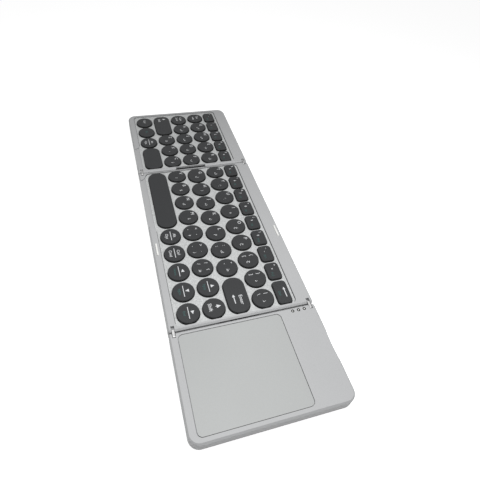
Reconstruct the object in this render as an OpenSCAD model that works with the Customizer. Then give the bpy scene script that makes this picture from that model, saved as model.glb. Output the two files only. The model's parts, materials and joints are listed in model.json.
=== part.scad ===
// Folding keyboard: a left key panel, a middle key panel and a touchpad panel, lying open and flat.
// X runs from the left panel to the touchpad, Y from the space bars to the number row, Z up.
// The origin is the centre of the overall box, on the surface that the feet stand on. Millimetres.

/* [Panels] */
// Depth of every panel, front to back
body_d = 94.6; // [92:0.2:98]
// Height of a panel without its feet
body_h = 9; // [8.6:0.1:10]
// Width of the left key panel
left_w = 87.6; // [86:0.2:87.8]
// Width of the middle key panel
mid_w = 150; // [149.8:0.2:153]
// Width of the touchpad panel
pad_w = 63.8; // [62:0.2:64]
// Gap between two panels at a joint
joint_gap = 1; // [0.8:0.05:1.2]
// Radius of the four outer corners
corner_r = 6.6; // [4:0.2:8]
// Radius of the panel corners beside a joint
joint_corner_r = 1.3; // [1.2:0.05:1.4]
// Chamfer along the top edges of a panel
edge_c = 1; // [0.6:0.05:1.1]
// Chamfer along the bottom edges of a panel
base_c = 0.7; // [0.2:0.1:0.7]

/* [Shells] */
// Wall of the frames and bottom covers
wall_t = 1.4; // [1.2:0.1:1.6]
// Floor of the bottom covers
floor_t = 1.2; // [1:0.1:1.4]
// Height of the parting line above the underside
split_h = 3; // [2.6:0.1:3.4]
// Top wall of the touchpad frame
deck_t = 2; // [1.9:0.1:2.4]
// Width of the front rim
front_rim = 5.2; // [4.8:0.1:5.6]
// Width of the back rim of the key panels
back_rim = 10.5; // [8:0.1:11]
// Width of the left panel's outer rim
outer_rim = 2.9; // [2.4:0.1:4]
// Width of the left panel's rim at the joint
left_joint_rim = 2.3; // [2.2:0.1:2.6]
// Width of the middle panel's rim at the left joint
mid_left_rim = 1.6; // [1.5:0.1:2]
// Width of the middle panel's rim at the touchpad joint
mid_right_rim = 2.2; // [1.9:0.1:2.4]
// Corner radius of the key pans
pan_r = 3.4; // [2:0.1:5]
// Length of the raised rim between a joint and the thumb relief
relief_from_joint = 9.2; // [8.6:0.1:12]
// Length of the thumb relief in front of the middle space bar
mid_relief_w = 52.8; // [40:0.2:60]
// Length of the thumb relief in front of the left space bar
left_relief_w = 23.5; // [18:0.5:30]

/* [Keys] */
// Depth of the key plates below the rim
pan_depth = 1; // [0.9:0.05:1.05]
// Height of the key tops above the rim
key_proud = 0.7; // [0.5:0.05:0.75]
// Width of the slightly narrow keys at the row starts
narrow_key_w = 13; // [12:0.1:14]
// Width of the slightly wide key at the middle home row's start
broad_key_w = 16.6; // [15:0.1:17.4]
// Depth of the number keys
number_key_d = 9.6; // [8:0.1:10.4]
// Width of the backspace key
backspace_w = 17.8; // [14:0.1:18.4]
// Width of the enter key
enter_w = 27.2; // [22:0.1:28]
// Width of the middle space bar
space_w = 62.8; // [50:0.2:64]
// Width of the left space bar
left_space_w = 28.4; // [20:0.1:30]
// Width of the left shift key
shift_w = 29.3; // [20:0.1:30]
// Corner radius of the number keys
number_key_r = 2.6; // [1:0.1:4]
// Corner radius of the left shift key and left space bar
wide_key_r = 5.4; // [3:0.1:7]
// Corner radius of the enter key and the middle space bar
bar_key_r = 6.7; // [3:0.1:7]
// Chamfer along the top edge of a key
key_c = 0.35; // [0.1:0.05:0.6]
// Gap between two rows of round keys
row_gap = 1.9; // [1.6:0.05:2.4]
// Gap between the number keys and the row in front of them
number_row_gap = 1.8; // [1.6:0.05:2.4]
// Space in front of the keys
front_key_margin = 1.8; // [1:0.1:3]
// Space behind the keys
back_key_margin = 2.4; // [1:0.1:3]
// Space between the keys and the pan's right edge
key_edge_gap = 0.4; // [0.35:0.05:0.6]
// Space left of the keys on the left panel
left_key_margin = 4.4; // [3.5:0.1:5]
// Space left of the keys on the middle panel
mid_key_margin = 1.6; // [1:0.1:2]
// Gaps between the left panel's keys, row by row from the front
left_key_gaps = [2, 1.7, 1.4, 1.75, 2];
// Gaps between the middle panel's keys, row by row from the front
mid_key_gaps = [1.88, 2, 2, 2, 1.9];
// Clearance around a key in its hole in the key plate
key_play = 0.3; // [0.2:0.01:0.32]
// Wall of a key cap
key_wall = 1.1; // [0.9:0.05:1.2]
// Reach of a key's stop flange past the key
flange_lip = 0.5; // [0.45:0.01:0.52]
// Thickness of the stop flange
flange_t = 0.5; // [0.4:0.05:0.55]
// Radius of a key's stem
stem_r = 2.2; // [1.8:0.1:2.4]
// Length of a key's stem below its flange
stem_h = 1.4; // [1.3:0.05:1.6]

/* [Inside the key panels] */
// Thickness of the frames around the key plates
rim_t = 3.1; // [3:0.05:3.2]
// Thickness of the key plates
plate_t = 1.2; // [1:0.05:1.4]
// Overlap of a key plate under the frame's rim
plate_lap = 0.6; // [0.4:0.05:0.7]
// Clearance around plates, boards and covers
part_play = 0.1; // [0.05:0.01:0.15]
// Thickness of the key circuits
circuit_t = 1; // [0.8:0.05:1.2]
// Thickness of the rubber sheet between its domes
sheet_t = 0.4; // [0.3:0.05:0.5]
// Radius of a rubber dome at its base
dome_r = 3.4; // [3.1:0.1:4]
// Wall of a rubber dome
dome_t = 0.5; // [0.3:0.05:0.6]

/* [Hinges] */
// Depth of the pivots below the top of the rim
pivot_depth = 1.2; // [1.15:0.01:1.3]
// Distance of a pivot from the edge of the middle panel
mid_pivot_in = 1; // [0.95:0.01:1.05]
// Distance of a pivot from the edge of a side panel
side_pivot_in = 2.2; // [2.15:0.01:2.3]
// Radius of a link's round ends
link_r = 0.95; // [0.8:0.01:1]
// Thickness of a link, front to back
link_t = 1.6; // [1.2:0.1:1.8]
// Distance of the links from the front and back faces
link_inset = 3.1; // [3:0.05:3.2]
// Radius of the hinge pins
pin_r = 0.5; // [0.4:0.01:0.55]
// Length of a hinge pin
pin_l = 3.8; // [3.4:0.1:3.8]
// Running clearance of a pin in its link
pin_play = 0.05; // [0.02:0.01:0.08]
// Clearance around a link in its slots
slot_play = 0.3; // [0.25:0.01:0.35]
// Length of slot left open past a link's end in the middle panel
slot_spare = 1.2; // [0:0.1:1.5]
// Length of the ribbon cables along a joint
ribbon_l = 25; // [15:0.5:30]
// Distance of the ribbon cables in front of the panel's middle
ribbon_front = 2.9; // [0:0.1:5]
// Thickness of the ribbon cables
ribbon_t = 0.5; // [0.3:0.05:0.5]
// Reach of the left ribbon into the left panel before it turns down
ribbon_left_in = 1.4; // [1:0.05:1.45]
// Reach of the left ribbon into the middle panel before it turns down
ribbon_mid_in = 0.85; // [0.75:0.05:0.9]
// Reach of the ribbons' ends inside the panels
ribbon_end = 1.6; // [1:0.1:2]
// Height of the ribbons' ends above the parting line
ribbon_low = 1.6; // [1.4:0.1:1.8]

/* [Touchpad panel] */
// Distance from the touchpad to the outer edge
touch_out = 3.5; // [3.2:0.1:10]
// Distance from the touchpad to the back face
touch_back = 24.8; // [22:0.2:34]
// Thickness of the touchpad's cover sheet
touch_t = 1; // [0.8:0.05:1.2]
// Corner radius of the touchpad
touch_r = 3; // [2:0.1:6]
// Distance from the joint edge to the touchpad
touch_in = 2.5; // [2.4:0.1:3]
// Distance of the touchpad below the rim
touch_low = 0.15; // [0.05:0.01:0.3]
// Groove around the touchpad
touch_play = 0.3; // [0.15:0.01:0.4]
// Width of the ledge that carries the touchpad
touch_ledge = 2.2; // [1.5:0.1:3]
// Thickness of the touch sensor board
sensor_t = 0.8; // [0.6:0.05:1]
// Length of the shallow scoop in the back edge
scoop_l = 21.4; // [14:0.2:24]
// Depth of the scoop
scoop_depth = 0.95; // [0.4:0.05:1.1]
// Distance from the joint edge to the scoop's middle
scoop_x = 29.5; // [24:0.5:32]
// Distance between two indicator lights
light_pitch = 4; // [3.4:0.1:4.4]
// Radius of an indicator lens
light_r = 0.6; // [0.4:0.05:0.7]
// Radius of the hole around an indicator lens
light_hole_r = 1.1; // [1:0.05:1.2]
// Distance from the joint edge to the indicator lights
light_in = 2.6; // [2.5:0.1:3.5]
// Distance from the back face to the last indicator light
light_back = 7.9; // [7.5:0.1:9]
// Distance from the main board to the outer edge
board_out = 5.3; // [4.6:0.1:10]
// Depth of the main board
board_d = 17; // [14:0.5:17]
// Thickness of the main board
board_t = 1; // [0.8:0.1:1]
// Width of the charging socket
port_w = 9; // [8:0.1:10]
// Height of the charging socket
port_h = 3.2; // [3:0.1:3.2]
// Depth of the charging socket
port_d = 7; // [6:0.1:8]
// Width of the battery
battery_w = 44; // [30:1:48]
// Depth of the battery
battery_d = 34; // [25:1:40]
// Thickness of the battery
battery_t = 3.4; // [2:0.1:4]

/* [Fittings] */
// Height of the feet below the covers
foot_h = 0.6; // [0.4:0.1:1]
// Radius of the feet
foot_r = 4; // [3:0.1:4.5]
// Depth of a foot's seat in its cover
foot_seat = 0.5; // [0.3:0.05:0.6]
// Distance of the feet from the panel's edges
foot_in = 11.5; // [11:0.5:16]
// Length of the white bumpers
bumper_l = 11; // [8:0.2:14]
// Width of the white bumpers
bumper_w = 1.3; // [1.2:0.1:2]
// Height of the bumpers above the rim
bumper_h = 1; // [0.5:0.1:1.2]
// Depth of the bumpers' seats
bumper_seat = 0.6; // [0.4:0.1:0.8]
// Distance of the bumpers from the front and back faces
bumper_in = 3; // [2.4:0.1:3.4]
// Distance from the bumpers' middle to the line where the folded panels meet
bumper_left = 1.4; // [0:0.1:2]
// Radius of the magnets
magnet_r = 2.5; // [2:0.1:3]
// Thickness of the magnets
magnet_t = 1.6; // [1:0.1:1.8]
// Distance of the magnets from the back face
magnet_back = 6.2; // [5:0.1:7]
// Distance of the magnets from the side panels' outer edges
magnet_in = 8.6; // [8:0.1:11]
// Radius of the screw shanks
screw_r = 0.65; // [0.5:0.05:0.7]
// Radius of the screw heads
screw_head_r = 1.3; // [1.1:0.05:1.4]
// Height of the screw heads
screw_head_h = 0.7; // [0.4:0.05:0.8]
// Radius of the screw bosses
boss_r = 1.6; // [1.5:0.05:1.7]
// Distance of the screws from the front and back faces
screw_in = 3.25; // [3.2:0.05:3.4]
// Distance of the screws from the outer and joint edges
screw_side = 12.5; // [12:0.5:15]

/* [Hidden] */
$fn = 64;
over = 1;

// Colours of the materials
silver = [0.70, 0.71, 0.72];
plate_silver = [0.78, 0.79, 0.80];
charcoal = [0.20, 0.20, 0.21];
black = [0.08, 0.08, 0.09];
white = [0.92, 0.92, 0.90];
steel = [0.75, 0.76, 0.78];
rubber_grey = [0.45, 0.45, 0.46];
board_green = [0.10, 0.35, 0.20];

// Ends of the panels along X, and their front and back faces
total_w = left_w + mid_w + pad_w + 2 * joint_gap;
left_x0 = -total_w / 2;
left_x1 = left_x0 + left_w;
mid_x0 = left_x1 + joint_gap;
mid_x1 = mid_x0 + mid_w;
pad_x0 = mid_x1 + joint_gap;
pad_x1 = pad_x0 + pad_w;
front_y = -body_d / 2;
back_y = body_d / 2;

// Heights
z_base = foot_h;
z_floor = z_base + floor_t;
z_split = z_base + split_h;
z_top = z_base + body_h;
z_pan = z_top - pan_depth;
z_plate = z_pan - plate_t;
z_rim = z_top - rim_t;
z_deck = z_top - deck_t;
z_circuit = z_floor + circuit_t;
z_sheet = z_circuit + sheet_t;
flange_gap = 0.1;
z_key = z_plate - flange_gap - flange_t;
z_key_top = z_top + key_proud;
z_stem = z_key - stem_h;
z_pivot = z_top - pivot_depth;
z_ribbon = z_split + ribbon_low;

// Key pans and key fields
LEFT = 0;
MID = 1;
pan_y0 = front_y + front_rim;
pan_y1 = back_y - back_rim;
pan_x0 = [left_x0 + outer_rim, mid_x0 + mid_left_rim];
pan_x1 = [left_x1 - left_joint_rim, mid_x1 - mid_right_rim];
panel_x0 = [left_x0, mid_x0];
panel_x1 = [left_x1, mid_x1];
panel_r0 = [corner_r, joint_corner_r];
field_x0 = [pan_x0[LEFT] + left_key_margin, pan_x0[MID] + mid_key_margin];
field_x1 = [pan_x1[LEFT] - key_edge_gap, pan_x1[MID] - key_edge_gap];
relief_x1 = [left_x1 - relief_from_joint, mid_x0 + relief_from_joint + mid_relief_w];
relief_x0 = [relief_x1[LEFT] - left_relief_w, mid_x0 + relief_from_joint];

// Key widths, row by row from the front; a plain key, 0 here, takes an even share of what its row leaves
plain = function(n) [for (i = [1:n]) 0];
rows = [
    [
        concat(plain(3), [left_space_w]),
        concat([shift_w], plain(3)),
        plain(5),
        concat([narrow_key_w], plain(4)),
        plain(5)
    ],
    [
        concat([space_w], plain(5)),
        concat([narrow_key_w], plain(8)),
        concat([broad_key_w], plain(6), [enter_w]),
        concat([narrow_key_w], plain(8)),
        concat(plain(8), [backspace_w])
    ]
];
key_gaps = [left_key_gaps, mid_key_gaps];
function sum_to(list, n) = n <= 0 ? 0 : list[n - 1] + sum_to(list, n - 1);
function plain_w(p, r) =
    let (row = rows[p][r], free = [for (w = row) if (w == 0) w])
    (field_x1[p] - field_x0[p] - sum_to(row, len(row)) - (len(row) - 1) * key_gaps[p][r]) / len(free);
function key_w(p, r, i) = rows[p][r][i] == 0 ? plain_w(p, r) : rows[p][r][i];
function key_x(p, r, i) =
    field_x0[p] + sum_to([for (k = [0:i]) key_w(p, r, k)], i) + i * key_gaps[p][r] + key_w(p, r, i) / 2;

// Key depths and rows: the round rows share what the number row, the gaps and the margins leave
NUMBER_ROW = 4;
round_d = (
    pan_y1 - pan_y0 - front_key_margin - back_key_margin
    - number_key_d - number_row_gap - (NUMBER_ROW - 1) * row_gap
) / NUMBER_ROW;
row_y = [
    for (r = [0:NUMBER_ROW])
        r < NUMBER_ROW
            ? pan_y0 + front_key_margin + round_d / 2 + r * (round_d + row_gap)
            : pan_y1 - back_key_margin - number_key_d / 2
];
function key_depth(r) = r == NUMBER_ROW ? number_key_d : round_d;
function key_corner(w, r) =
    let (limit = min(w, key_depth(r)) / 2)
    r == NUMBER_ROW ? min(number_key_r, limit)
    : w == left_space_w || w == shift_w ? min(wide_key_r, limit)
    : w == space_w || w == enter_w ? min(bar_key_r, limit)
    : limit;

// Joint middles, pivots and links; side is -1 at the left joint and 1 at the touchpad joint
joint_x = [left_x1 + joint_gap / 2, mid_x1 + joint_gap / 2];
side_of = [-1, 1];
mid_pivot_x = [mid_x0 + mid_pivot_in, mid_x1 - mid_pivot_in];
side_pivot_x = [left_x1 - side_pivot_in, pad_x0 + side_pivot_in];
link_ys = [front_y + link_inset, back_y - link_inset];
ribbon_y0 = -ribbon_front - ribbon_l / 2;
ribbon_y1 = -ribbon_front + ribbon_l / 2;
left_ribbon_x = [left_x1 - ribbon_left_in, mid_x0 + ribbon_mid_in];

// Touchpad, board and socket places
touch_x0 = pad_x0 + touch_in;
touch_x1 = pad_x1 - touch_out;
touch_y0 = front_y + front_rim;
touch_y1 = back_y - touch_back;
z_touch = z_top - touch_low;
z_sensor = z_touch - touch_t;
z_board = z_split + part_play - board_t;
board_x0 = pad_x0 + wall_t + part_play;
board_x1 = pad_x1 - board_out;
board_y1 = back_y - wall_t - scoop_depth - part_play;
board_y0 = board_y1 - board_d;
port_x = pad_x0 + scoop_x;
scoop_r = (scoop_l * scoop_l / 4 + scoop_depth * scoop_depth) / (2 * scoop_depth);
lamp_h = 0.5;
light_x = pad_x0 + light_in;
light_ys = [for (i = [0:2]) back_y - light_back - i * light_pitch];

// Magnets of the side panels meet those of the middle panel when folded
left_magnet_x = left_x0 + magnet_in;
pad_magnet_x = pad_x1 - magnet_in;
mid_magnet_xs = [
    mid_pivot_x[LEFT] + side_pivot_x[LEFT] - left_magnet_x,
    mid_pivot_x[MID] + side_pivot_x[MID] - pad_magnet_x
];
magnet_y = back_y - magnet_back;

// Bumpers stand where the outer ends of the folded side panels meet
fold_end_xs = [
    mid_pivot_x[LEFT] + side_pivot_x[LEFT] - left_x0,
    mid_pivot_x[MID] + side_pivot_x[MID] - pad_x1
];
bumper_x = (fold_end_xs[0] + fold_end_xs[1]) / 2 - bumper_left;

// Screw and foot places of each panel
function four(x0, x1, in_x, in_y) =
    [for (x = [x0 + in_x, x1 - in_x], y = [front_y + in_y, back_y - in_y]) [x, y]];
left_screw_at = four(left_x0, left_x1, screw_side, screw_in);
mid_screw_at = concat(
    four(mid_x0, mid_x1, screw_side, screw_in),
    [for (y = [front_y + screw_in, back_y - screw_in]) [(mid_x0 + mid_x1) / 2 - screw_side, y]]
);
pad_screw_at = four(pad_x0, pad_x1, screw_side, screw_in);
left_foot_at = four(left_x0, left_x1, foot_in, foot_in);
mid_foot_at = four(mid_x0, mid_x1, foot_in, foot_in);
pad_foot_at = four(pad_x0, pad_x1, foot_in, foot_in);

// Flat slab from z 0 to h, with corner radii rl on the left and rr on the right and a chamfer c along
// its top; its side pieces end inside its middle, so that no two of them only touch
module slab(x0, x1, y0, y1, rl, rr, h, c = 0) {
    tiny = 0.001;
    middle = x1 - x0 - rl - rr;
    module corner(x, y, r) {
        translate([x, y, 0]) cylinder(h = h - c, r = r);
        if (c > 0) translate([x, y, h - c]) cylinder(h = c, r1 = r, r2 = r - c);
    }
    module side(edge, inner, y0, y1) {
        s = edge < inner ? 1 : -1;
        translate([0, y1, 0]) rotate([90, 0, 0]) linear_extrude(y1 - y0)
            polygon([[edge, 0], [inner, 0], [inner, h], [edge + s * c, h], [edge, h - c]]);
    }
    for (y = [y0, y1]) {
        s = y == y0 ? 1 : -1;
        if (y == y0 || y1 - y0 > 2 * rl + tiny) corner(x0 + rl, y + s * rl, rl);
        if ((y == y0 || y1 - y0 > 2 * rr + tiny) && x1 - x0 > 2 * rr + tiny) corner(x1 - rr, y + s * rr, rr);
    }
    if (middle > tiny)
        translate([x0 + rl, 0, 0]) rotate([90, 0, 90]) linear_extrude(middle)
            polygon([[y0, 0], [y1, 0], [y1, h - c], [y1 - c, h], [y0 + c, h], [y0, h - c]]);
    if (y1 - y0 > 2 * rl + tiny) side(x0, x0 + rl + max(middle, rr) / 2, y0 + rl, y1 - rl);
    if (y1 - y0 > 2 * rr + tiny) side(x1, x1 - rr - max(middle, rl) / 3, y0 + rr, y1 - rr);
}

module box(x0, x1, y0, y1, z0, z1) {
    translate([x0, y0, z0]) cube([x1 - x0, y1 - y0, z1 - z0]);
}

module disc(at, r, z0, z1) {
    translate([at[0], at[1], z0]) cylinder(h = z1 - z0, r = r);
}

// Upper shell of a panel, hollow below, with its screw bosses
module frame_shell(x0, x1, rl, rr, screw_at, z_ceiling) {
    difference() {
        translate([0, 0, z_split]) slab(x0, x1, front_y, back_y, rl, rr, z_top - z_split, edge_c);
        translate([0, 0, z_split - over])
            slab(x0 + wall_t, x1 - wall_t, front_y + wall_t, back_y - wall_t,
                 max(rl - wall_t, joint_corner_r), max(rr - wall_t, joint_corner_r),
                 z_ceiling - z_split + over);
    }
    difference() {
        for (p = screw_at) disc(p, boss_r, z_split, z_ceiling + root);
        screw_bores(screw_at);
    }
}

// How far a boss or block reaches into the wall that it stands on
root = 0.3;
screw_top_gap = 0.6;
z_screw = z_rim - screw_top_gap;

module screw_bores(screw_at) {
    for (p = screw_at) disc(p, screw_r, z_split - over, z_screw);
}

// Lower shell of a panel with seats for feet and screws
module bottom_cover(x0, x1, rl, rr, screw_at, foot_at) {
    screw_clear = 0.15;
    color(silver)
    difference() {
        union() {
            difference() {
                translate([0, 0, z_split]) mirror([0, 0, 1])
                    slab(x0, x1, front_y, back_y, rl, rr, split_h, base_c);
                translate([0, 0, z_floor])
                    slab(x0 + wall_t, x1 - wall_t, front_y + wall_t, back_y - wall_t,
                         max(rl - wall_t, joint_corner_r), max(rr - wall_t, joint_corner_r), split_h);
            }
            for (p = screw_at) disc(p, boss_r, z_base + floor_t / 2, z_split);
        }
        for (p = screw_at) {
            disc(p, screw_r + screw_clear, z_base - over, z_split + over);
            disc(p, screw_head_r + screw_clear, z_base - over, z_base + screw_head_h);
        }
        for (p = foot_at) disc(p, foot_r, z_base - over, z_base + foot_seat);
    }
}

// Screws with a cross recess in the head
module screws(screw_at) {
    cross_l = 1.5 * screw_head_r;
    cross_w = 0.4;
    cross_h = screw_head_h / 2;
    color(steel)
    for (p = screw_at) {
        difference() {
            disc(p, screw_head_r, z_base, z_base + screw_head_h);
            for (size = [[cross_l, cross_w], [cross_w, cross_l]])
                box(p[0] - size[0] / 2, p[0] + size[0] / 2, p[1] - size[1] / 2, p[1] + size[1] / 2,
                    z_base - over, z_base + cross_h);
        }
        disc(p, screw_r, z_base + (cross_h + screw_head_h) / 2, z_screw);
    }
}

module feet(foot_at) {
    color(black) for (p = foot_at) disc(p, foot_r, 0, z_base + foot_seat);
}

// Slots for the links, bores for the pins; in_x is the pivot and to_x lies past the panel's joint edge
module hinge_cuts(in_x, to_x, spare) {
    reach = link_r + slot_play;
    s = in_x < to_x ? -1 : 1;
    far = in_x + s * (reach + spare);
    half = link_t / 2 + slot_play;
    for (y = link_ys) {
        box(min(far, to_x), max(far, to_x), y - half, y + half, z_pivot - reach, z_top + over);
        out = y < 0 ? -1 : 1;
        translate([in_x, y + out * (pin_l / 2 + over), z_pivot]) rotate([out * 90, 0, 0])
            cylinder(h = pin_l + over, r = pin_r);
    }
}

module hinge_pins(xs) {
    color(steel)
    for (x = xs, y = link_ys)
        translate([x, y + pin_l / 2, z_pivot]) rotate([90, 0, 0]) cylinder(h = pin_l, r = pin_r);
}

// Flat link with round ends on two pivots, at the front and at the back of a joint
module hinge_links(x0, x1) {
    color(steel)
    for (y = link_ys)
        translate([0, y + link_t / 2, z_pivot]) rotate([90, 0, 0])
            difference() {
                union() {
                    for (x = [x0, x1]) translate([x, 0, 0]) cylinder(h = link_t, r = link_r);
                    translate([x0, -link_r, 0]) cube([x1 - x0, 2 * link_r, link_t]);
                }
                for (x = [x0, x1])
                    translate([x, 0, -over]) cylinder(h = link_t + 2 * over, r = pin_r + pin_play);
            }
}

// Space around a ribbon from x0 to x1, from its ends' height up to z1
module ribbon_cut(x0, x1, z1) {
    box(x0, x1, ribbon_y0 - slot_play, ribbon_y1 + slot_play, z_ribbon - slot_play, z1);
}

module magnet(x) {
    color(steel) disc([x, magnet_y], magnet_r, z_rim - magnet_t, z_rim);
}

// Open top of a key panel: the pan, and the relief for the thumbs with its quarter-round ends
module pan_cut(p) {
    difference() {
        union() {
            translate([0, 0, z_pan])
                slab(pan_x0[p], pan_x1[p], pan_y0, pan_y1, pan_r, pan_r, pan_depth + over);
            box(relief_x0[p] - front_rim, relief_x1[p] + front_rim, front_y - over, pan_y0 + pan_r,
                z_pan, z_top + over);
        }
        for (x = [relief_x0[p] - front_rim, relief_x1[p] + front_rim])
            disc([x, front_y], front_rim, z_pan - over, z_top + 2 * over);
    }
}

function lap(d = 0) = plate_lap + d;

module plate_body(p, grow, z0, z1) {
    translate([0, 0, z0])
        slab(pan_x0[p] - lap(grow), pan_x1[p] + lap(grow), pan_y0 - lap(grow), pan_y1 + lap(grow),
             pan_r, pan_r, z1 - z0);
}

module key_frame(p, screw_at) {
    frame_shell(panel_x0[p], panel_x1[p], panel_r0[p], joint_corner_r, screw_at, z_rim);
}

module middle_frame() {
    color(silver)
    difference() {
        key_frame(MID, mid_screw_at);
        pan_cut(MID);
        plate_body(MID, part_play, z_rim - over, z_pan);
        for (j = [0, 1])
            hinge_cuts(mid_pivot_x[j], mid_pivot_x[j] + side_of[j] * (mid_pivot_in + over), slot_spare);
        ribbon_cut(mid_x0 - over, pan_x0[MID] - plate_lap, z_top + over);
        ribbon_cut(mid_x0 - over, mid_x0 + wall_t + over, z_ribbon + ribbon_t + slot_play);
        ribbon_cut(mid_x1 - wall_t - over, mid_x1 + over, z_ribbon + ribbon_t + slot_play);
        bumper_seats();
    }
}

module left_frame() {
    color(silver)
    difference() {
        key_frame(LEFT, left_screw_at);
        pan_cut(LEFT);
        plate_body(LEFT, part_play, z_rim - over, z_pan);
        hinge_cuts(side_pivot_x[0], left_x1 + over, 0);
        ribbon_cut(pan_x1[LEFT] + plate_lap, left_x1 + over, z_top + over);
        ribbon_cut(left_x1 - wall_t - over, left_x1 + over, z_ribbon + ribbon_t + slot_play);
    }
}

module bumper_seats() {
    for (s = [-1, 1])
        translate([bumper_x, s * (back_y - bumper_in), z_top - bumper_seat])
            bumper_body(bumper_seat + over, 0);
}

module bumper_body(h, c) {
    slab(-bumper_l / 2, bumper_l / 2, -bumper_w / 2, bumper_w / 2, bumper_w / 2, bumper_w / 2, h, c);
}

module middle_bumpers() {
    bumper_c = 0.3;
    color(white)
    for (s = [-1, 1])
        translate([bumper_x, s * (back_y - bumper_in), z_top - bumper_seat])
            bumper_body(bumper_seat + bumper_h, bumper_c);
}

// Outline of key i of row r, grown by g, from z0 to z1
module key_outline(p, r, i, g, z0, z1, c = 0) {
    w = key_w(p, r, i);
    x = w / 2 + g;
    y = key_depth(r) / 2 + g;
    corner = max(key_corner(w, r) + g, joint_corner_r);
    translate([key_x(p, r, i), row_y[r], z0]) slab(-x, x, -y, y, corner, corner, z1 - z0, c);
}

// Key plate, with a close hole for every key
module key_plate(p) {
    color(plate_silver)
    difference() {
        plate_body(p, 0, z_plate, z_pan);
        for (r = [0:NUMBER_ROW], i = [0:len(rows[p][r]) - 1])
            key_outline(p, r, i, key_play, z_plate - over, z_pan + over);
    }
}

// Board and rubber sheet share one outline inside the walls and clear of the bosses
module inner_sheet(p, z0, z1) {
    clear = boss_r + screw_in + part_play;
    box(panel_x0[p] + wall_t + part_play + corner_r * (p == LEFT ? 0.5 : 0), panel_x1[p] - wall_t - part_play,
        front_y + clear, back_y - clear - magnet_back, z0, z1);
}

module circuit(p) {
    color(board_green) inner_sheet(p, z_floor, z_circuit);
}

// Rubber sheet with one hollow dome under every stem
module dome_sheet(p) {
    color(rubber_grey)
    difference() {
        union() {
            inner_sheet(p, z_circuit, z_sheet);
            for (r = [0:NUMBER_ROW], i = [0:len(rows[p][r]) - 1])
                translate([key_x(p, r, i), row_y[r], z_sheet])
                    cylinder(h = z_stem - z_sheet, r1 = dome_r, r2 = stem_r);
        }
        for (r = [0:NUMBER_ROW], i = [0:len(rows[p][r]) - 1])
            translate([key_x(p, r, i), row_y[r], z_circuit - over])
                cylinder(h = z_stem - dome_t - z_circuit + over, r1 = dome_r - dome_t, r2 = stem_r - dome_t);
    }
}

// Keys i0 to i1 of row r on panel p: hollow caps with a stop flange around their foot and a stem
module keys(p, r, i0, i1) {
    color(charcoal)
    for (i = [i0:i1]) {
        difference() {
            union() {
                key_outline(p, r, i, 0, z_key, z_key_top, key_c);
                key_outline(p, r, i, flange_lip, z_key, z_key + flange_t);
            }
            key_outline(p, r, i, -key_wall, z_key - over, z_key_top - key_wall);
        }
        disc([key_x(p, r, i), row_y[r]], stem_r, z_stem, z_key_top - key_wall / 2);
    }
}

// Touchpad frame with the touchpad's recess and its ledge, the scoop, and holes for lights and socket
module touchpad_frame() {
    block_w = link_inset + link_t;
    color(silver)
    difference() {
        union() {
            frame_shell(pad_x0, pad_x1, joint_corner_r, corner_r, pad_screw_at, z_deck);
            for (y = [front_y, back_y - 2 * link_inset])
                box(pad_x0 + wall_t / 2, pad_x0 + block_w, y + wall_t / 2, y + 2 * link_inset - wall_t / 2,
                    z_rim, z_deck + root);
            scoop_wall(z_split, z_deck + root);
        }
        translate([0, 0, z_sensor])
            slab(touch_x0 - touch_play, touch_x1 + touch_play, touch_y0 - touch_play, touch_y1 + touch_play,
                 touch_r, touch_r, touch_t + touch_low + over);
        translate([0, 0, z_deck - over])
            slab(touch_x0 + touch_ledge, touch_x1 - touch_ledge,
                 touch_y0 + touch_ledge, touch_y1 - touch_ledge, touch_r, touch_r, z_sensor - z_deck + 2 * over);
        scoop();
        hinge_cuts(side_pivot_x[1], pad_x0 - over, 0);
        ribbon_cut(pad_x0 - over, pad_x0 + wall_t + over, z_ribbon + ribbon_t + slot_play);
        for (y = light_ys) disc([light_x, y], light_hole_r, z_deck - over, z_top + over);
        box(port_x - port_w / 2 - part_play, port_x + port_w / 2 + part_play, back_y - wall_t - port_d,
            back_y + over, z_split - over, z_split + part_play + port_h + part_play);
    }
}

module scoop() {
    disc([port_x, back_y - scoop_depth + scoop_r], scoop_r, z_base - over, z_top + over);
}

// Wall behind the scoop, as thick as the other walls
module scoop_wall(z0, z1) {
    box(port_x - scoop_l / 2, port_x + scoop_l / 2, back_y - wall_t - scoop_depth, back_y - wall_t / 2, z0, z1);
}

module touchpad_bottom_cover() {
    post_r = 1.5;
    color(silver)
    difference() {
        union() {
            bottom_cover(pad_x0, pad_x1, joint_corner_r, corner_r, pad_screw_at, pad_foot_at);
            scoop_wall(z_floor - over / 2, z_split);
            for (x = [board_x0 + 2 * post_r, board_x1 - 2 * post_r],
                 y = [board_y0 + 2 * post_r, board_y1 - 2 * post_r])
                disc([x, y], post_r, z_floor - over / 2, z_board);
        }
        scoop();
    }
}

module touchpad_surface() {
    color(silver)
    translate([0, 0, z_sensor]) slab(touch_x0, touch_x1, touch_y0, touch_y1, touch_r, touch_r, touch_t);
}

module touchpad_sensor_board() {
    in = touch_ledge + part_play;
    color(board_green)
    translate([0, 0, z_sensor - sensor_t])
        slab(touch_x0 + in, touch_x1 - in, touch_y0 + in, touch_y1 - in, touch_r, touch_r, sensor_t);
}

// Board with its controller chip and three lights
module main_board() {
    chip = 6;
    chip_h = 1;
    color(board_green)
    difference() {
        union() {
            box(board_x0, board_x1, board_y0, board_y1, z_board, z_board + board_t);
            box(port_x - 3 * chip, port_x - 2 * chip, board_y0 + chip / 2, board_y0 + 3 * chip / 2,
                z_board + board_t, z_board + board_t + chip_h);
            for (y = light_ys)
                box(light_x - light_r, light_x + light_r, y - light_r, y + light_r, z_board + board_t,
                    z_board + board_t + lamp_h);
        }
        for (p = pad_screw_at) disc(p, boss_r + part_play, z_board - over, z_top);
    }
}

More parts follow.
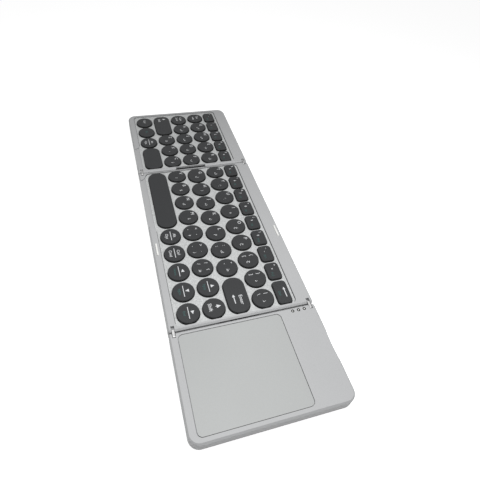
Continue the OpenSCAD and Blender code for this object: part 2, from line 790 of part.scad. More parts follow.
module charging_socket() {
    shell = 0.4;
    z0 = z_board + board_t;
    y1 = back_y - scoop_depth - part_play;
    color(steel)
    difference() {
        translate([0, y1, z0 + port_h / 2]) rotate([90, 0, 0])
            stadium(port_x, port_w, port_h, port_d);
        translate([0, y1 + over, z0 + port_h / 2]) rotate([90, 0, 0])
            stadium(port_x, port_w - 2 * shell, port_h - 2 * shell, port_d + over - 2 * shell);
    }
}

module stadium(x, w, h, l) {
    for (s = [-1, 1]) translate([x + s * (w - h) / 2, 0, 0]) cylinder(h = l, r = h / 2);
    translate([x - (w - h) / 2, -h / 2, 0]) cube([w - h, h, l]);
}

module battery() {
    gap = 3;
    edge_r = 1.5;
    x0 = (pad_x0 + pad_x1 - battery_w) / 2;
    y1 = board_y0 - gap;
    color(black)
    translate([0, 0, z_floor])
        slab(x0, x0 + battery_w, y1 - battery_d, y1, edge_r, edge_r, battery_t);
}

// Light guide: three pipes from the lamps on the board to the top of the rim, on one bar under the deck
module indicator_lenses() {
    lens_low = 0.1;
    bar_lap = 0.4;
    bar_t = 0.8;
    reach = light_hole_r + bar_lap;
    color(white) {
        for (y = light_ys) disc([light_x, y], light_r, z_board + board_t + lamp_h, z_top - lens_low);
        box(pad_x0 + wall_t + part_play, light_x + reach, light_ys[2] - reach, light_ys[0] + reach,
            z_deck - bar_t, z_deck);
    }
}

// Ribbon that rises from inside both panels and crosses the joint at the height of the pivots
module left_ribbon_cable() {
    z_cross = z_pivot - ribbon_t / 2;
    x0 = left_ribbon_x[0];
    x1 = left_ribbon_x[1];
    color(black) {
        box(x0, x1, ribbon_y0, ribbon_y1, z_cross, z_cross + ribbon_t);
        for (x = [x0, x1 - ribbon_t])
            box(x, x + ribbon_t, ribbon_y0, ribbon_y1, z_ribbon, z_cross + ribbon_t);
        box(x0 - ribbon_end, x0 + ribbon_t, ribbon_y0, ribbon_y1, z_ribbon, z_ribbon + ribbon_t);
        box(x1 - ribbon_t, x1 + ribbon_end, ribbon_y0, ribbon_y1, z_ribbon, z_ribbon + ribbon_t);
    }
}

// Ribbon that passes through the walls at the touchpad joint, with its slack folded up between them
module right_ribbon_cable() {
    reach = joint_gap / 2 + wall_t + ribbon_end;
    fold = joint_gap / 2 - part_play;
    color(black) {
        box(joint_x[1] - reach, joint_x[1] + reach, ribbon_y0, ribbon_y1, z_ribbon, z_ribbon + ribbon_t);
        box(joint_x[1] - fold, joint_x[1] + fold, ribbon_y0, ribbon_y1, z_ribbon, z_pivot);
    }
}

middle_frame();
bottom_cover(mid_x0, mid_x1, joint_corner_r, joint_corner_r, mid_screw_at, mid_foot_at);  // middle_bottom_cover
key_plate(MID);  // middle_key_plate
dome_sheet(MID);  // middle_dome_sheet
circuit(MID);  // middle_circuit
middle_bumpers();
for (x = mid_magnet_xs) magnet(x);  // middle_magnets
hinge_pins(mid_pivot_x);  // middle_hinge_pins
screws(mid_screw_at);  // middle_screws
feet(mid_foot_at);  // middle_feet

left_frame();
bottom_cover(left_x0, left_x1, corner_r, joint_corner_r, left_screw_at, left_foot_at);  // left_bottom_cover
key_plate(LEFT);  // left_key_plate
dome_sheet(LEFT);  // left_dome_sheet
circuit(LEFT);  // left_circuit
magnet(left_magnet_x);  // left_magnet
hinge_pins([side_pivot_x[0]]);  // left_hinge_pins
screws(left_screw_at);  // left_screws
feet(left_foot_at);  // left_feet

touchpad_frame();
touchpad_bottom_cover();
touchpad_surface();
touchpad_sensor_board();
main_board();
charging_socket();
battery();
indicator_lenses();
magnet(pad_magnet_x);  // touchpad_magnet
hinge_pins([side_pivot_x[1]]);  // touchpad_hinge_pins
screws(pad_screw_at);  // touchpad_screws
feet(pad_foot_at);  // touchpad_feet

hinge_links(side_pivot_x[0], mid_pivot_x[0]);  // left_hinge_links
left_ribbon_cable();
hinge_links(mid_pivot_x[1], side_pivot_x[1]);  // right_hinge_links
right_ribbon_cable();

keys(LEFT, 0, 0, 0);  // left_control_key
keys(LEFT, 0, 1, 1);  // function_key
keys(LEFT, 0, 2, 2);  // left_alt_key
keys(LEFT, 0, 3, 3);  // left_space_bar
keys(LEFT, 1, 0, 0);  // left_shift_key
keys(LEFT, 1, 1, 3);  // left_lower_letter_keys
keys(LEFT, 2, 0, 0);  // caps_key
keys(LEFT, 2, 1, 4);  // left_home_letter_keys
keys(LEFT, 3, 0, 0);  // tab_key
keys(LEFT, 3, 1, 4);  // left_upper_letter_keys
keys(LEFT, NUMBER_ROW, 0, 4);  // left_number_keys

keys(MID, 0, 0, 0);  // middle_space_bar
keys(MID, 0, 1, 1);  // right_alt_key
keys(MID, 0, 2, 2);  // right_control_key
keys(MID, 0, 3, 3);  // arrow_left_key
keys(MID, 0, 4, 4);  // arrow_down_key
keys(MID, 0, 5, 5);  // arrow_right_key
keys(MID, 1, 0, 6);  // middle_lower_letter_keys
keys(MID, 1, 7, 7);  // arrow_up_key
keys(MID, 1, 8, 8);  // right_shift_key
keys(MID, 2, 0, 6);  // middle_home_letter_keys
keys(MID, 2, 7, 7);  // enter_key
keys(MID, 3, 0, 8);  // middle_upper_letter_keys
keys(MID, NUMBER_ROW, 0, 7);  // middle_number_keys
keys(MID, NUMBER_ROW, 8, 8);  // backspace_key
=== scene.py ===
"""Looks of the folding keyboard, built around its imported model. Metres, Z up, Blender 4.5."""
import json
import math

import bmesh
import bpy
from mathutils import Matrix, Vector


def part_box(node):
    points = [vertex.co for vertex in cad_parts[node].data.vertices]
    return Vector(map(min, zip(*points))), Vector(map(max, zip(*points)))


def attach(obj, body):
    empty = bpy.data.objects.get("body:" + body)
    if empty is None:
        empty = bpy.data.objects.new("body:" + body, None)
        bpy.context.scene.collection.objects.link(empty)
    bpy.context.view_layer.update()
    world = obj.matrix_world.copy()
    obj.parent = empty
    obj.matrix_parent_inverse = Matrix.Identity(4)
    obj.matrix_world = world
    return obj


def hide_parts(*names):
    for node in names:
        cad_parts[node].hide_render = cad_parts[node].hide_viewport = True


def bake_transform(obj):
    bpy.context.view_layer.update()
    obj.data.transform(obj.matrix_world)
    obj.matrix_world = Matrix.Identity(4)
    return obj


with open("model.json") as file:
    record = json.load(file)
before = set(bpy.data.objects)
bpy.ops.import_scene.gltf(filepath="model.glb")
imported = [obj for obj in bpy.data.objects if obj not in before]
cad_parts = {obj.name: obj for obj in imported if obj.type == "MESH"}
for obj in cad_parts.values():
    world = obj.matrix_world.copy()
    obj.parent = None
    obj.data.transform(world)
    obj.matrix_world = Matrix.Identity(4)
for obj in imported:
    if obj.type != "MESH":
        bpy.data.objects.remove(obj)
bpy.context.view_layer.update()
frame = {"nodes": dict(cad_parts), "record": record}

MM = 0.001
NODES = frame["nodes"]
BODY_OF = {
    node: body
    for body, nodes in frame["record"]["behaviour"]["bodies"].items()
    for node in nodes
}

# Camera of the photograph: place, axes (right, down, forward) and focal length for a 36 mm wide sensor
CAMERA_AT = Vector((0.20232, -0.05468, 0.22181))
CAMERA_RIGHT = Vector((0.277459, 0.957059, 0.083994))
CAMERA_DOWN = Vector((0.733508, -0.154562, -0.661874))
CAMERA_FORWARD = Vector((-0.620470, 0.245253, -0.744894))
SENSOR_MM = 36.0
FOCAL_PX = 390.98
PHOTO_PX = 480.0

# Directions in the XY plane, anticlockwise from the right
RIGHT = 0.0
UP = math.radians(90)
LEFT = math.radians(180)
DOWN = math.radians(-90)

# Light: the world's brightness, the floor's grey and own glow, and the lamp's place, target, size and watts
WORLD_LIGHT = 0.24
FLOOR_GREY = 0.60
FLOOR_GLOW = 0.80
FLOOR_HALF = 3.0
LAMP_AT = (0.10, 0.01, 0.34)
LAMP_TARGET = (0.08, 0.0, 0.0)
LAMP_SIZE = 0.26
LAMP_WATTS = 1.3

# Printed marks: thickness, and how deep they sink into the key tops
PRINT_T = 0.02 * MM
PRINT_SINK = 0.005 * MM

# Places of the marks: right, back and height of the capitals, in mm from the key's middle
LETTER_AT = (-2.6, 3.4, 2.7)
SIGN_UPPER_AT = (-3.0, 2.8, 2.3)
SIGN_LOWER_AT = (-3.0, -2.2, 2.3)
SECOND_AT = (2.6, 0.0, 2.1)
SECOND_UPPER_AT = (2.9, 2.8, 2.0)
SECOND_LOWER_AT = (2.9, -2.2, 2.0)
NUMBER_UPPER_AT = (-4.4, 2.2, 1.7)
NUMBER_AT = (-1.6, -0.4, 1.9)
FUNCTION_AT = (3.0, -1.6, 1.7)
WORD_HEIGHT = 2.1

# Marks on the keys, left to right: the main letters, and those of a second alphabet
LETTERS = {
    "left_upper_letter_keys": "QWER",
    "left_home_letter_keys": "ASDF",
    "left_lower_letter_keys": "ZXC",
    "middle_upper_letter_keys": "TYUIOP[]\\",
    "middle_home_letter_keys": "GHJKL;'",
    "middle_lower_letter_keys": "VBNM,./",
}
SECOND_LETTERS = {
    "left_upper_letter_keys": "\u0636\u0635\u062b\u0642",
    "left_home_letter_keys": "\u0634\u0633\u064a\u0628",
    "left_lower_letter_keys": "\u0626\u0621\u0624",
    "middle_upper_letter_keys": "\u0641\u063a\u0639\u0647\u062e\u062d\u062c\u062f\u0630",
    "middle_home_letter_keys": "\u0644\u0627\u062a\u0646\u0645\u0643\u0637",
    "middle_lower_letter_keys": "\u0631\ufefb\u0649\u0629\u0648\u0632\u0638",
}
SECOND_SHIFTED = {",": "\u060c", ".": ".", "/": "\u061f"}
NUMBERS = {
    "left_number_keys": "`1234",
    "middle_number_keys": "567890-=",
}
FUNCTIONS = {
    "left_number_keys": ("Esc", "F1", "F2", "F3", "F4"),
    "middle_number_keys": ("F5", "F6", "F7", "F8", "F9", "F10", "F11", "F12"),
}
SHIFTED = {
    "1": "!", "2": "@", "3": "#", "4": "$", "5": "%", "6": "^", "7": "&", "8": "*", "9": "(", "0": ")",
    "-": "_", "=": "+", "`": "~", "[": "{", "]": "}", "\\": "|", ";": ":", "'": '"', ",": "<", ".": ">",
    "/": "?",
}


# Node graph helpers

def new_material(name):
    """Empty material with a Principled shader joined to its output."""
    mat = bpy.data.materials.new(name)
    mat.use_nodes = True
    tree = mat.node_tree
    tree.nodes.clear()
    out = tree.nodes.new("ShaderNodeOutputMaterial")
    shader = tree.nodes.new("ShaderNodeBsdfPrincipled")
    tree.links.new(shader.outputs["BSDF"], out.inputs["Surface"])
    return mat, tree, shader


def object_noise(tree, scale, detail=2.0, roughness=0.5):
    """Noise over object coordinates; scale counts features per metre."""
    coord = tree.nodes.new("ShaderNodeTexCoord")
    noise = tree.nodes.new("ShaderNodeTexNoise")
    noise.inputs["Scale"].default_value = scale
    noise.inputs["Detail"].default_value = detail
    noise.inputs["Roughness"].default_value = roughness
    tree.links.new(coord.outputs["Object"], noise.inputs["Vector"])
    return noise.outputs["Fac"]


def ramp(tree, fac, stops):
    """Colour ramp over fac, from (position, colour) pairs."""
    node = tree.nodes.new("ShaderNodeValToRGB")
    band = node.color_ramp
    while len(band.elements) < len(stops):
        band.elements.new(0.5)
    for element, (position, colour) in zip(band.elements, stops):
        element.position = position
        element.color = (*colour, 1.0)
    tree.links.new(fac, node.inputs["Fac"])
    return node.outputs["Color"]


def remap(tree, fac, low, high):
    """Maps 0 to 1 onto low to high."""
    node = tree.nodes.new("ShaderNodeMapRange")
    node.inputs["To Min"].default_value = low
    node.inputs["To Max"].default_value = high
    tree.links.new(fac, node.inputs["Value"])
    return node.outputs["Result"]


def multiply(tree, colour, factor):
    """Product of two colour sockets."""
    mix = tree.nodes.new("ShaderNodeMix")
    mix.data_type = "RGBA"
    mix.blend_type = "MULTIPLY"
    mix.inputs["Factor"].default_value = 1.0
    tree.links.new(colour, mix.inputs["A"])
    tree.links.new(factor, mix.inputs["B"])
    return mix.outputs["Result"]


def painted_wall_shade(tree, factor):
    """Painted shade: grey that is 1 on faces that look up and factor on upright walls, so the walls look
    less lit.
    """
    coord = tree.nodes.new("ShaderNodeTexCoord")
    axes = tree.nodes.new("ShaderNodeSeparateXYZ")
    tree.links.new(coord.outputs["Normal"], axes.inputs["Vector"])
    return ramp(tree, axes.outputs["Z"], [(0.45, (factor, factor, factor)), (0.8, (1.0, 1.0, 1.0))])


def height_mask(tree, low, high):
    """Goes from 0 at height low to 1 at height high, both in metres."""
    coord = tree.nodes.new("ShaderNodeTexCoord")
    axes = tree.nodes.new("ShaderNodeSeparateXYZ")
    tree.links.new(coord.outputs["Object"], axes.inputs["Vector"])
    node = tree.nodes.new("ShaderNodeMapRange")
    node.inputs["From Min"].default_value = low
    node.inputs["From Max"].default_value = high
    tree.links.new(axes.outputs["Z"], node.inputs["Value"])
    return node.outputs["Result"]


def add_bump(tree, shader, fac, strength, distance):
    node = tree.nodes.new("ShaderNodeBump")
    node.inputs["Strength"].default_value = strength
    node.inputs["Distance"].default_value = distance
    tree.links.new(fac, node.inputs["Height"])
    tree.links.new(node.outputs["Normal"], shader.inputs["Normal"])


def shade(colour, factor):
    return tuple(min(1.0, channel * factor) for channel in colour)


# Materials

def grained(name, colour, contrast, grain, rough, specular=0.5, upright_shade=1.0, painted_shade_below=None):
    """Base colour with fine grain of the given size in mm, a slow change of tone, and grain in the gloss.

    Upright walls get painted shade, darker by the given factor. With a height given for painted shade
    below, all below that height is painted near black as shade.
    """
    mat, tree, shader = new_material(name)
    fine = object_noise(tree, 1.0 / (grain * MM), detail=3.0, roughness=0.65)
    slow = object_noise(tree, 18.0, detail=2.0)
    fine_colour = ramp(tree, fine, [(0.3, shade(colour, 1 - contrast)), (0.7, shade(colour, 1 + contrast))])
    slow_colour = ramp(tree, slow, [(0.3, (0.96, 0.96, 0.96)), (0.7, (1.0, 1.0, 1.0))])
    result = multiply(tree, fine_colour, slow_colour)
    # painted shade: upright walls darker than the faces that look up
    if upright_shade < 1.0:
        result = multiply(tree, result, painted_wall_shade(tree, upright_shade))
    # painted shade: near black below the given height, for the lens pipe's side down in its hole
    if painted_shade_below is not None:
        mask = height_mask(tree, painted_shade_below - 0.02 * MM, painted_shade_below + 0.02 * MM)
        tops = ramp(tree, mask, [(0.0, (0.02, 0.02, 0.02)), (1.0, (1.0, 1.0, 1.0))])
        result = multiply(tree, result, tops)
    tree.links.new(result, shader.inputs["Base Color"])
    tree.links.new(remap(tree, fine, rough - 0.06, rough + 0.06), shader.inputs["Roughness"])
    shader.inputs["Specular IOR Level"].default_value = specular
    add_bump(tree, shader, fine, 0.15, 0.02 * MM)
    return mat


def brushed(name, colour, rough):
    """Metal with fine lines along X."""
    mat, tree, shader = new_material(name)
    coord = tree.nodes.new("ShaderNodeTexCoord")
    mapping = tree.nodes.new("ShaderNodeMapping")
    mapping.inputs["Scale"].default_value = (1.0, 60.0, 60.0)
    noise = tree.nodes.new("ShaderNodeTexNoise")
    noise.inputs["Scale"].default_value = 120.0
    noise.inputs["Detail"].default_value = 3.0
    tree.links.new(coord.outputs["Object"], mapping.inputs["Vector"])
    tree.links.new(mapping.outputs["Vector"], noise.inputs["Vector"])
    fac = noise.outputs["Fac"]
    tree.links.new(ramp(tree, fac, [(0.3, shade(colour, 0.9)), (0.7, shade(colour, 1.08))]),
                   shader.inputs["Base Color"])
    tree.links.new(remap(tree, fac, rough - 0.08, rough + 0.08), shader.inputs["Roughness"])
    shader.inputs["Metallic"].default_value = 1.0
    add_bump(tree, shader, fac, 0.1, 0.01 * MM)
    return mat


MATERIALS = {
    "shell": grained("shell_paint", (0.42, 0.425, 0.43), 0.05, 0.5, 0.50, specular=0.3),
    "key_plate": grained("key_plate_paint", (0.50, 0.51, 0.51), 0.22, 1.1, 0.50, specular=0.3),
    # touch film and key caps: painted shade on their upright walls
    "touch_surface": grained("touch_film", (0.39, 0.40, 0.397), 0.04, 0.4, 0.45,
                             specular=0.3, upright_shade=0.15),
    "key_cap": grained("key_plastic", (0.022, 0.023, 0.0245), 0.20, 0.6, 0.60,
                       specular=0.3, upright_shade=0.25),
    "dome_rubber": grained("dome_silicone", (0.30, 0.30, 0.30), 0.08, 0.3, 0.6),
    "circuit_board": grained("board_lacquer", (0.02, 0.12, 0.05), 0.15, 0.8, 0.35),
    "bumper": grained("bumper_rubber", (0.80, 0.80, 0.78), 0.05, 0.3, 0.55, specular=0.3),
    "magnet": brushed("magnet_nickel", (0.72, 0.72, 0.74), 0.25),
    "bright_metal": brushed("bright_steel", (0.36, 0.36, 0.36), 0.50),
    "foot_rubber": grained("foot_rubber", (0.025, 0.025, 0.026), 0.25, 0.3, 0.7),
    "ribbon": grained("ribbon_film", (0.008, 0.008, 0.009), 0.2, 0.4, 0.6, specular=0.15),
    "socket_metal": brushed("socket_metal", (0.66, 0.66, 0.67), 0.3),
    "battery_wrap": grained("battery_wrap", (0.03, 0.03, 0.034), 0.15, 0.8, 0.4),
    # lens: painted shade, near black, on its side below 9.4 mm
    "lens": grained("lens_plastic", (0.80, 0.80, 0.77), 0.04, 0.3, 0.35, painted_shade_below=9.4 * MM),
}
LEGEND = grained("legend_print", (0.62, 0.63, 0.64), 0.10, 0.2, 0.5, specular=0.3)
FUNCTION_LEGEND = grained("function_print", (0.03, 0.085, 0.08), 0.10, 0.2, 0.5, specular=0.3)
# near-black material of the small pieces that paint shade in gaps and at the foot of walls
SHADE_SHEET = grained("painted_shade_sheet", (0.012, 0.012, 0.013), 0.25, 0.3, 0.7, specular=0.2)


def dress_nodes():
    """Gives every node's object the material of its slot."""
    slot_of = {part["node"]: part["material_slot"] for part in frame["record"]["subparts"]}
    for name, obj in NODES.items():
        mat = MATERIALS[slot_of[name]]
        if not obj.data.materials:
            obj.data.materials.append(None)
        for slot in obj.material_slots:
            slot.link = "OBJECT"
            slot.material = mat


def soften_edges(names, width):
    """Small round edges on CAD pieces."""
    for name in names:
        obj = NODES[name]
        weld = obj.modifiers.new("weld", "WELD")
        weld.merge_threshold = 0.001 * MM
        bevel = obj.modifiers.new("bevel", "BEVEL")
        bevel.width = width
        bevel.segments = 2
        bevel.limit_method = "ANGLE"
        bevel.angle_limit = math.radians(28)
        bevel.use_clamp_overlap = True
        normals = obj.modifiers.new("normals", "WEIGHTED_NORMAL")
        normals.keep_sharp = True


# Key places, read from the key solids

def islands(name):
    """Low and high corners of each separate solid of a node, sorted along X."""
    work = bmesh.new()
    work.from_mesh(NODES[name].data)
    bmesh.ops.remove_doubles(work, verts=work.verts, dist=0.001 * MM)
    work.verts.ensure_lookup_table()
    seen = set()
    boxes = []
    for seed in work.verts:
        if seed.index in seen:
            continue
        stack = [seed]
        seen.add(seed.index)
        points = []
        while stack:
            vert = stack.pop()
            points.append(vert.co.copy())
            for edge in vert.link_edges:
                other = edge.other_vert(vert)
                if other.index not in seen:
                    seen.add(other.index)
                    stack.append(other)
        low = Vector([min(p[i] for p in points) for i in range(3)])
        high = Vector([max(p[i] for p in points) for i in range(3)])
        boxes.append((low, high))
    work.free()
    return sorted(boxes, key=lambda box: box[0].x)


# Printed marks: thin meshes that lie on the key tops

def glyph(text, height, at, z):
    """Mesh of a short text, centred on at, with capitals of the given height."""
    curve = bpy.data.curves.new("glyph", "FONT")
    curve.body = text
    curve.size = height * 1.38
    curve.align_x = "CENTER"
    curve.align_y = "CENTER"
    curve.extrude = PRINT_T / 2
    curve.offset = 0.03 * MM
    curve.resolution_u = 2
    obj = bpy.data.objects.new("glyph", curve)
    bpy.context.scene.collection.objects.link(obj)
    obj.location = (at[0], at[1], z + PRINT_T / 2 - PRINT_SINK)
    bpy.context.view_layer.update()
    depsgraph = bpy.context.evaluated_depsgraph_get()
    mesh = bpy.data.meshes.new_from_object(obj.evaluated_get(depsgraph))
    mesh.transform(obj.matrix_world)
    bpy.data.objects.remove(obj)
    bpy.data.curves.remove(curve)
    return mesh


def flat_shape(points, z):
    """Thin closed mesh over a flat outline given anticlockwise."""
    work = bmesh.new()
    lower = [work.verts.new((x, y, z - PRINT_SINK)) for x, y in points]
    upper = [work.verts.new((x, y, z - PRINT_SINK + PRINT_T)) for x, y in points]
    work.faces.new(upper)
    work.faces.new(lower[::-1])
    count = len(points)
    for i in range(count):
        j = (i + 1) % count
        work.faces.new((lower[i], lower[j], upper[j], upper[i]))
    mesh = bpy.data.meshes.new("shape")
    work.to_mesh(mesh)
    work.free()
    return mesh


def bar(at, length, thick, z, turn=0.0):
    """Thin bar with round ends."""
    half = length / 2 - thick / 2
    steps = 6
    points = []
    for side in (1, -1):
        for i in range(steps + 1):
            angle = math.radians(-90 + 180 * i / steps)
            x = side * (half + thick / 2 * math.cos(angle))
            y = side * thick / 2 * math.sin(angle)
            points.append((x, y))
    c, s = math.cos(turn), math.sin(turn)
    return flat_shape([(at[0] + c * x - s * y, at[1] + s * x + c * y) for x, y in points], z)


def triangle(at, size, z, turn):
    """Filled arrowhead that points along turn."""
    points = []
    for angle in (0, 130, 230):
        a = math.radians(angle) + turn
        points.append((at[0] + size * math.cos(a), at[1] + size * math.sin(a)))
    return flat_shape(points, z)


def join_meshes(name, meshes):
    """One object from several meshes."""
    work = bmesh.new()
    for mesh in meshes:
        work.from_mesh(mesh)
        bpy.data.meshes.remove(mesh)
    data = bpy.data.meshes.new(name)
    work.to_mesh(data)
    work.free()
    obj = bpy.data.objects.new(name, data)
    bpy.context.scene.collection.objects.link(obj)
    return obj


def centre(box):
    return ((box[0].x + box[1].x) / 2, (box[0].y + box[1].y) / 2)


def offset(at, dx, dy):
    return (at[0] + dx * MM, at[1] + dy * MM)


def mark(box, text, place):
    """Mesh of a text at its place on the key with the given corners."""
    dx, dy, height = place
    return glyph(text, height * MM, offset(centre(box), dx, dy), box[1].z)


def letter_marks(name):
    """Main letter at the upper left, or a pair of signs at the left; second marks at the right."""
    meshes = []
    for box, letter, second in zip(islands(name), LETTERS[name], SECOND_LETTERS[name]):
        if letter in SHIFTED:
            meshes.append(mark(box, SHIFTED[letter], SIGN_UPPER_AT))
            meshes.append(mark(box, letter, SIGN_LOWER_AT))
        else:
            meshes.append(mark(box, letter, LETTER_AT))
        if letter in SECOND_SHIFTED:
            meshes.append(mark(box, SECOND_SHIFTED[letter], SECOND_UPPER_AT))
            meshes.append(mark(box, second, SECOND_LOWER_AT))
        else:
            meshes.append(mark(box, second, SECOND_AT))
    return meshes


def number_marks(name):
    """Shifted sign near the back left corner, and the digit between it and the middle."""
    meshes = []
    for box, digit in zip(islands(name), NUMBERS[name]):
        meshes.append(mark(box, SHIFTED[digit], NUMBER_UPPER_AT))
        meshes.append(mark(box, digit, NUMBER_AT))
    return meshes


def number_functions(name):
    return [mark(box, label, FUNCTION_AT) for box, label in zip(islands(name), FUNCTIONS[name])]


def single_key(name):
    """Middle and top height of a node that is one key."""
    box = islands(name)[0]
    return centre(box), box[1].z


def word(name, text, dx, dy, height=WORD_HEIGHT):
    return [mark(islands(name)[0], text, (dx, dy, height))]


def divider(name):
    """Thin line that parts the two marks of a key."""
    at, z = single_key(name)
    return [bar(offset(at, 0, 0.2), 8.6 * MM, 0.45 * MM, z)]


def arrow(name, dx, dy, turn, size=1.5, tail=0.0):
    """Filled arrowhead along turn, with a tail of the given length."""
    at, z = single_key(name)
    meshes = [triangle(offset(at, dx, dy), size * MM, z, turn)]
    if tail > 0:
        reach = size / 2 + tail / 2
        middle = offset(at, dx - reach * math.cos(turn), dy - reach * math.sin(turn))
        meshes.append(bar(middle, tail * MM, 0.6 * MM, z, turn))
    return meshes


def main_marks():
    """Light marks of every key, as lists of meshes by node."""
    sets = {name: letter_marks(name) for name in LETTERS}
    sets.update({name: number_marks(name) for name in NUMBERS})
    sets["left_control_key"] = word("left_control_key", "Ctrl", -1.0, 0.2)
    for name, upper, lower in (("left_alt_key", "Alt", "Opt"), ("right_alt_key", "Alt", "Opt"),
                               ("right_control_key", "Ctrl", "Cmd")):
        sets[name] = divider(name) + word(name, upper, 0, 2.7) + word(name, lower, 0, -2.7)
    for name, turn in (("arrow_left_key", LEFT), ("arrow_down_key", DOWN),
                       ("arrow_right_key", RIGHT), ("arrow_up_key", UP)):
        sets[name] = divider(name) + arrow(name, 0, 2.7, turn)
    sets["tab_key"] = word("tab_key", "Tab", -0.8, 2.0) + arrow("tab_key", 1.6, -2.0, RIGHT, 1.2, 3.0)
    sets["caps_key"] = word("caps_key", "Caps", -0.8, 2.2) + word("caps_key", "Lock", -0.8, -1.4)
    sets["left_shift_key"] = (word("left_shift_key", "Shift", -8.4, -2.2)
                              + arrow("left_shift_key", -10.0, 2.6, UP, 1.5, 1.0))
    sets["right_shift_key"] = (word("right_shift_key", "Shift", -0.6, -2.3, 2.4)
                               + arrow("right_shift_key", -0.6, 3.0, UP, 1.7, 1.0))
    sets["enter_key"] = (word("enter_key", "Enter", 4.4, 2.2, 2.4)
                         + arrow("enter_key", 1.0, -2.2, LEFT, 1.3, 5.0))
    sets["backspace_key"] = arrow("backspace_key", -2.2, 1.9, LEFT, 1.2, 6.0)
    return sets


def function_marks():
    """Dim coloured marks of the second functions."""
    sets = {name: number_functions(name) for name in FUNCTIONS}
    sets["function_key"] = word("function_key", "Fn", 0, 0, 2.4)
    sets["backspace_key"] = word("backspace_key", "Del", 1.0, -2.0, 1.7)
    for name, text in (("arrow_left_key", "Home"), ("arrow_down_key", "PgDn"),
                       ("arrow_right_key", "End"), ("arrow_up_key", "PgUp")):
        sets[name] = word(name, text, 0, -2.4, 1.6)
    return sets


def print_marks(prefix, sets, mat):
    """One printed piece for each node, which rides with its key."""
    for name, meshes in sets.items():
        obj = join_meshes(prefix + name, meshes)
        obj.data.materials.append(mat)
        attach(obj, BODY_OF[name])


# Ribbons across the joints: two halves each, that meet at the middle of the joint

def strip(name, path, y0, y1, thick, rows=24):
    """Flat band of the given thickness along a path in the XZ plane."""
    work = bmesh.new()
    rings = []
    count = len(path)
    for i, (x, z) in enumerate(path):
        before = Vector(path[max(i - 1, 0)])
        after = Vector(path[min(i + 1, count - 1)])
        tangent = (after - before).normalized()
        nx, nz = -tangent.y, tangent.x
        ring = []
        for side in (1, -1):
            for j in range(rows + 1):
                k = j if side == 1 else rows - j
                y = y0 + (y1 - y0) * k / rows
                ring.append(work.verts.new((x + side * nx * thick / 2, y, z + side * nz * thick / 2)))
        rings.append(ring)
    size = len(rings[0])
    for a, b in zip(rings, rings[1:]):
        for j in range(size):
            k = (j + 1) % size
            work.faces.new((a[j], a[k], b[k], b[j]))
    work.faces.new(rings[0][::-1])
    work.faces.new(rings[-1])
    bmesh.ops.recalc_face_normals(work, faces=work.faces)
    data = bpy.data.meshes.new(name)
    work.to_mesh(data)
    work.free()
    obj = bpy.data.objects.new(name, data)
    bpy.context.scene.collection.objects.link(obj)
    return obj


def rounded(points, radius, steps=5):
    """Path through points with its inner corners rounded."""
    path = [points[0]]
    for before, corner, after in zip(points, points[1:], points[2:]):
        corner_v = Vector(corner)
        to_before = (Vector(before) - corner_v).normalized() * radius
        to_after = (Vector(after) - corner_v).normalized() * radius
        for i in range(steps + 1):
            t = i / steps
            point = corner_v + to_before * (1 - t) ** 2 + to_after * t ** 2
            path.append((point.x, point.y))
    path.append(points[-1])
    return path


def add_ribbon_half(name, path, y0, y1, thick, node):
    obj = strip(name, path, y0, y1, thick)
    obj.data.materials.append(MATERIALS["ribbon"])
    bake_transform(obj)
    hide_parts(node)


def left_ribbon():
    """Ribbon that rises inside both panels and lies over the joint."""
    low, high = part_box("left_ribbon_cable")
    thick = 0.4 * MM
    end = 1.6 * MM
    z_top = high[2] - thick / 2
    z_low = low[2] + thick / 2
    x_mid = (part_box("left_frame")[1][0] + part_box("middle_frame")[0][0]) / 2
    for name, side, leg, tip, body in (
            ("left_ribbon_outer", -1, low[0] + end + thick / 2, low[0], "left_panel"),
            ("left_ribbon_inner", 1, high[0] - end - thick / 2, high[0], "middle_panel")):
        path = rounded([(x_mid, z_top), (leg, z_top), (leg, z_low), (tip, z_low)], 0.3 * MM)
        add_ribbon_half(name, path, low[1], high[1], thick,
                        "left_ribbon_cable")


def right_ribbon():
    """Ribbon that passes through both walls, with its slack folded up between them."""
    low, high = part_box("right_ribbon_cable")
    thick = 0.25 * MM
    z_top = high[2] - thick / 2
    z_low = low[2] + thick
    x_mid = (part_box("middle_frame")[1][0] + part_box("touchpad_frame")[0][0]) / 2
    leg_steps = 6
    for name, side, tip, body in (("right_ribbon_inner", -1, low[0], "middle_panel"),
                                  ("right_ribbon_outer", 1, high[0], "touchpad_panel")):
        leg = x_mid + side * 0.24 * MM
        heights = [z_top + (z_low - z_top) * i / leg_steps for i in range(leg_steps + 1)]
        points = [(x_mid, z_top)] + [(leg, z) for z in heights] + [(tip, z_low)]
        add_ribbon_half(name, rounded(points, 0.1 * MM), low[1], high[1], thick,
                        "right_ribbon_cable")


# Small dark pieces of painted shade: rings around the indicator lamps, and a strip at the foot of each
# pan's wall

def ring_piece(name, profile, body, closed=True):
    """Ring through a profile's outlines, given with their heights; all have the same count of points."""
    work = bmesh.new()
    loops = [[work.verts.new((x, y, z)) for x, y in outline] for outline, z in profile]
    count = len(loops[0])
    sides = len(loops)
    for i in range(count if closed else count - 1):
        j = (i + 1) % count
        for k in range(sides):
            a, b = loops[k], loops[(k + 1) % sides]
            work.faces.new((a[i], a[j], b[j], b[i]))
    if not closed:
        work.faces.new([loop[0] for loop in loops])
        work.faces.new([loop[-1] for loop in loops][::-1])
    bmesh.ops.recalc_face_normals(work, faces=work.faces)
    data = bpy.data.meshes.new(name)
    work.to_mesh(data)
    work.free()
    obj = bpy.data.objects.new(name, data)
    bpy.context.scene.collection.objects.link(obj)
    # near-black material: painted shade
    data.materials.append(SHADE_SHEET)
    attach(obj, body)


def circle(at, radius, steps=24):
    angles = [2 * math.pi * i / steps for i in range(steps)]
    return [(at[0] + radius * math.cos(a), at[1] + radius * math.sin(a)) for a in angles]


